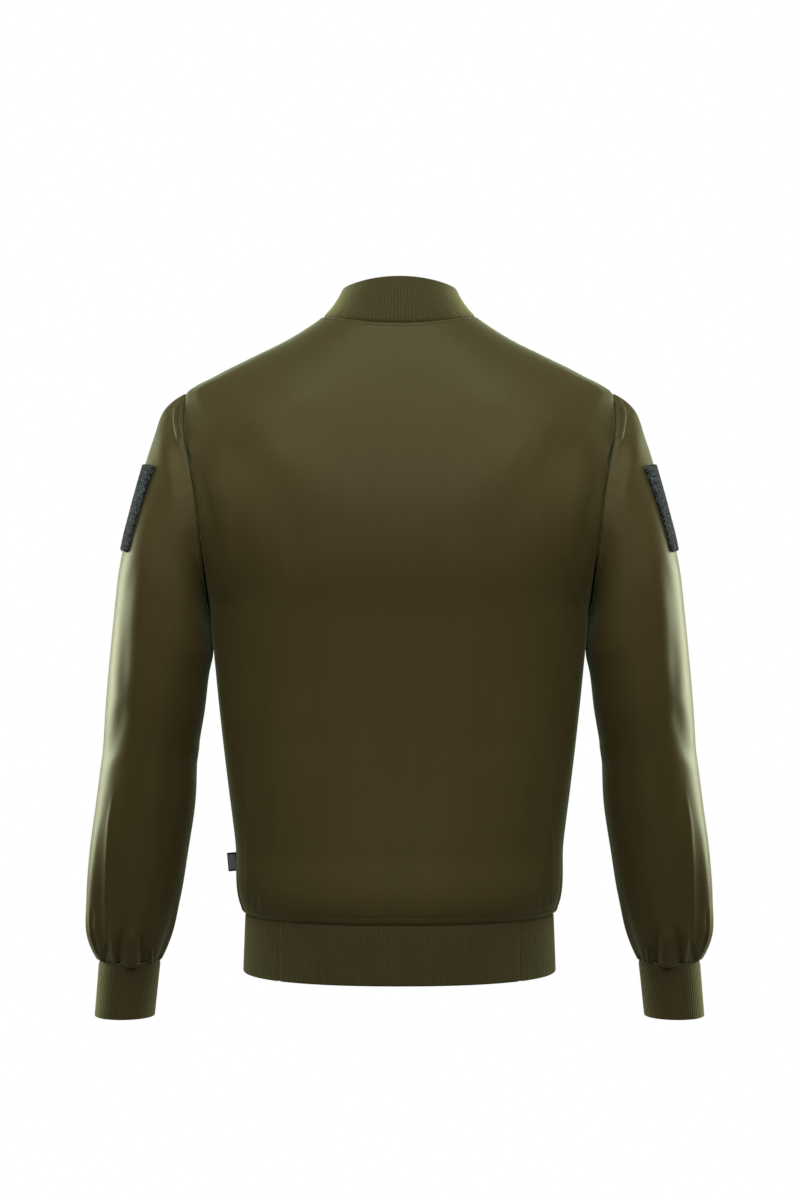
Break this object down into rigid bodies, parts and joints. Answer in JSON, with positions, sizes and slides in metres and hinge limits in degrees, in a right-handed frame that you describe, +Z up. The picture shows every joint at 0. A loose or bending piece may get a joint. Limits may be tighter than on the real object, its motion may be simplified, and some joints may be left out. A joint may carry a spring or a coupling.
{
  "type": "bomber jacket, filled out as worn",
  "caption": "Zipped nylon bomber jacket as a hollow worn form, with ribbed collar, cuffs and waistband and a loop panel on each upper sleeve.",
  "frame": {"origin": "middle of the neck hole, level with the two points where the collar seam crosses the tops of the shoulders", "axes": "+X to the wearer's left, -Y to the front, +Z up"},
  "size_m": [0.63, 0.2645, 0.7394],
  "materials": {
    "nylon_shell": "smooth olive-green nylon satin with a soft sheen",
    "rib_knit": "olive one-by-one rib knit, matt",
    "loop_pile": "grey-blue heathered loop pile, matt",
    "zip_tape": "woven olive tape",
    "zip_metal": "dark gunmetal",
    "woven_tab": "black woven tab with a plain grey check"
  },
  "bodies": {
    "jacket": {"back": "nylon_shell", "front_left": "nylon_shell", "front_right": "nylon_shell", "sleeve_left": "nylon_shell", "sleeve_right": "nylon_shell", "collar": "rib_knit", "waistband": "rib_knit", "cuff_left": "rib_knit", "cuff_right": "rib_knit", "loop_panel_left": "loop_pile", "loop_panel_right": "loop_pile", "side_label": "woven_tab", "zip_tape_left": "zip_tape", "zip_tape_right": "zip_tape", "zip_teeth": "zip_metal", "zip_slider": "zip_metal"},
    "zip_pull": {"zip_pull": "zip_metal"}
  },
  "joints": [
    {"name": "zip_pull_flip", "type": "hinge", "parent": "jacket", "child": "zip_pull", "pos_m": [0, -0.09004, -0.08363], "axis": [-1, 0, 0], "range_deg": [0, 160]}
  ]
}
